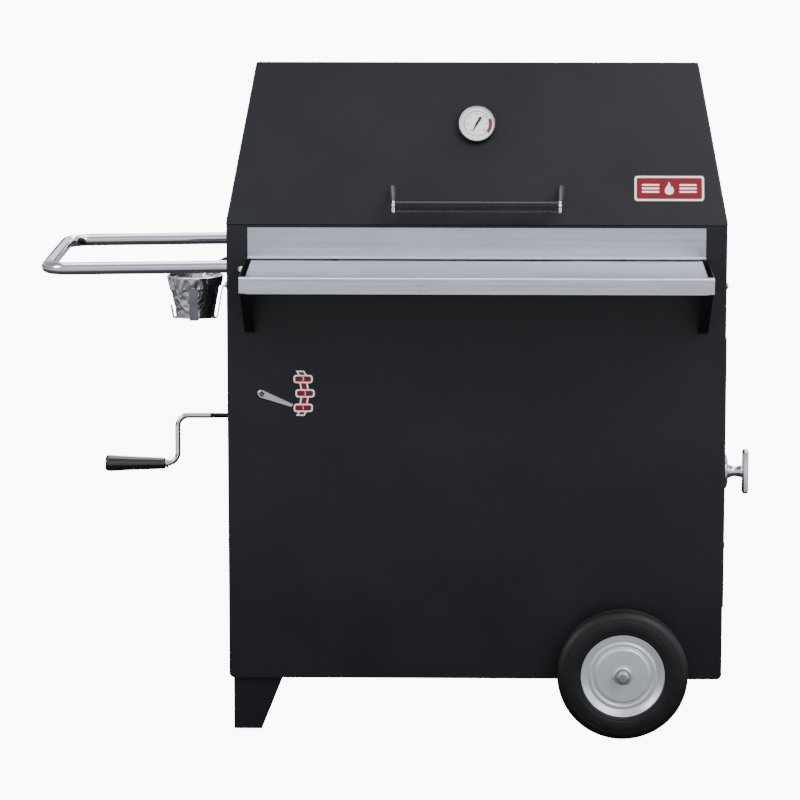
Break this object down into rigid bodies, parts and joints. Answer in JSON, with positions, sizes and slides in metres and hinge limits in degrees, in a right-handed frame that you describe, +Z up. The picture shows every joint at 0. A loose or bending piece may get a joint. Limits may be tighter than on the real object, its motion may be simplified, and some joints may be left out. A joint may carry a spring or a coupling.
{
  "type": "charcoal oven grill cart",
  "caption": "Wheeled charcoal oven with a tilting hood, side fire door, front shelf, drawbar and a crank that raises the firebox under the cooking grates.",
  "frame": {"origin": "on the ground under the middle of the whole object's box", "axes": "+Z up, +X towards the fire door and the wheels, -Y towards the front shelf"},
  "size_m": [1.2324, 0.743, 1.1647],
  "materials": {
    "powder_coat": "satin black powder coat",
    "inner_steel": "matt heat-resistant black on mild steel",
    "stainless": "brushed along its length",
    "chrome": "polished chromium plate",
    "zinc_steel": "bright zinc plate",
    "bronze": "machined bronze",
    "cast_iron": "rough sand-cast",
    "foil": "crumpled household foil",
    "grip": "glossy black turned grip",
    "tyre": "matt black rubber",
    "wheel_paint": "silver paint on pressed steel",
    "dial": "white enamel dial",
    "needle": "matt black",
    "glass": "clear flat glass",
    "plaque": "red and white enamelled plate"
  },
  "bodies": {
    "cabinet": {"front_panel": "powder_coat", "rear_panel": "powder_coat", "left_panel": "powder_coat", "right_panel": "powder_coat", "floor_pan": "inner_steel", "splash_panel": "stainless", "front_shelf": "stainless", "bracket_left": "powder_coat", "bracket_right": "powder_coat", "front_leg": "powder_coat", "rear_leg": "powder_coat", "axle": "zinc_steel", "axle_plates": "inner_steel", "axle_fittings": "zinc_steel", "drawbar": "chrome", "panel_bolts": "chrome", "cabinet_hinge_leaf": "powder_coat", "jamb_hinge_leaves": "powder_coat", "lift_bushes": "bronze", "idler_pins": "inner_steel", "screw_yoke": "inner_steel", "position_plate": "plaque", "grate_rails": "inner_steel", "grate_left": "stainless", "grate_right": "stainless", "grease_trough": "stainless", "drain_spout": "inner_steel", "drip_cup": "foil", "cup_holder": "powder_coat"},
    "hood": {"hood_wrap": "powder_coat", "hood_left_side": "powder_coat", "hood_right_side": "powder_coat", "handle_bar": "powder_coat", "handle_posts": "chrome", "gauge_case": "chrome", "gauge_dial": "dial", "gauge_glass": "glass", "gauge_stem": "zinc_steel", "badge": "plaque", "hood_hinge_leaf": "powder_coat"},
    "needle": {"gauge_needle": "needle"},
    "fire_door": {"door_panel": "powder_coat", "door_liner": "inner_steel", "door_hinge_leaves": "powder_coat", "latch_rose": "chrome"},
    "latch": {"latch_handle": "chrome", "latch_cam": "zinc_steel"},
    "vent": {"vent_slide": "stainless"},
    "lift": {"lift_frame": "inner_steel", "pointer": "stainless"},
    "idlers": {"idler_arms": "inner_steel"},
    "firebox": {"firebox": "inner_steel", "fire_grate": "cast_iron"},
    "crank": {"crank_rod": "chrome"},
    "grip": {"crank_grip": "grip"},
    "nut": {"screw_nut": "bronze"},
    "front_wheel": {"front_tyre": "tyre", "front_rim": "wheel_paint"},
    "rear_wheel": {"rear_tyre": "tyre", "rear_rim": "wheel_paint"}
  },
  "joints": [
    {"name": "hood_hinge", "type": "hinge", "parent": "cabinet", "child": "hood", "pos_m": [0.14075, 0.3045, 0.8942], "axis": [-1, 0, 0], "range_deg": [0, 90]},
    {"name": "gauge_turn", "type": "hinge", "parent": "hood", "child": "needle", "pos_m": [0.14075, -0.1175, 1.06], "axis": [0, 0.9514, -0.308], "range_deg": [0, 250]},
    {"name": "fire_door_hinge", "type": "hinge", "parent": "cabinet", "child": "fire_door", "pos_m": [0.57775, 0.2665, 0.455], "axis": [0, 0, 1], "range_deg": [0, 110]},
    {"name": "latch_turn", "type": "hinge", "parent": "fire_door", "child": "latch", "pos_m": [0.57075, -0.1115, 0.454], "axis": [-1, 0, 0], "range_deg": [0, 90]},
    {"name": "vent_shutter", "type": "slide", "parent": "fire_door", "child": "vent", "axis": [0, 1, 0], "range_m": [0, 0.013]},
    {"name": "crank_turn", "type": "hinge", "parent": "cabinet", "child": "crank", "pos_m": [-0.28925, -0.0715, 0.543], "axis": [1, 0, 0], "range_deg": [0, 1917.4]},
    {"name": "lift_turn", "type": "hinge", "parent": "cabinet", "child": "lift", "pos_m": [-0.22925, 0.0635, 0.5985], "axis": [0, -1, 0], "range_deg": [0, 42.01]},
    {"name": "idler_turn", "type": "hinge", "parent": "cabinet", "child": "idlers", "pos_m": [0.27075, 0.0635, 0.5985], "axis": [0, -1, 0], "range_deg": [0, 42.01]},
    {"name": "firebox_level", "type": "hinge", "parent": "lift", "child": "firebox", "pos_m": [-0.04253, 0.0635, 0.52683], "axis": [0, 1, 0], "range_deg": [0, 42.01]},
    {"name": "nut_travel", "type": "slide", "parent": "cabinet", "child": "nut", "axis": [1, 0, 0], "range_m": [0, 0.04262]},
    {"name": "grip_spin", "type": "hinge", "parent": "crank", "child": "grip", "pos_m": [-0.45925, -0.0715, 0.457], "axis": [1, 0, 0], "continuous": true},
    {"name": "front_wheel_spin", "type": "hinge", "parent": "cabinet", "child": "front_wheel", "pos_m": [0.39635, -0.2115, 0.114], "axis": [0, 1, 0], "continuous": true},
    {"name": "rear_wheel_spin", "type": "hinge", "parent": "cabinet", "child": "rear_wheel", "pos_m": [0.39635, 0.3385, 0.114], "axis": [0, 1, 0], "continuous": true}
  ],
  "couplings": [
    {"joint": "lift_turn", "follows": "crank_turn", "ratio": 0.021905},
    {"joint": "idler_turn", "follows": "crank_turn", "ratio": 0.021905},
    {"joint": "firebox_level", "follows": "crank_turn", "ratio": 0.021905},
    {"joint": "nut_travel", "follows": "crank_turn", "m_per_rad": 0.0012732}
  ]
}
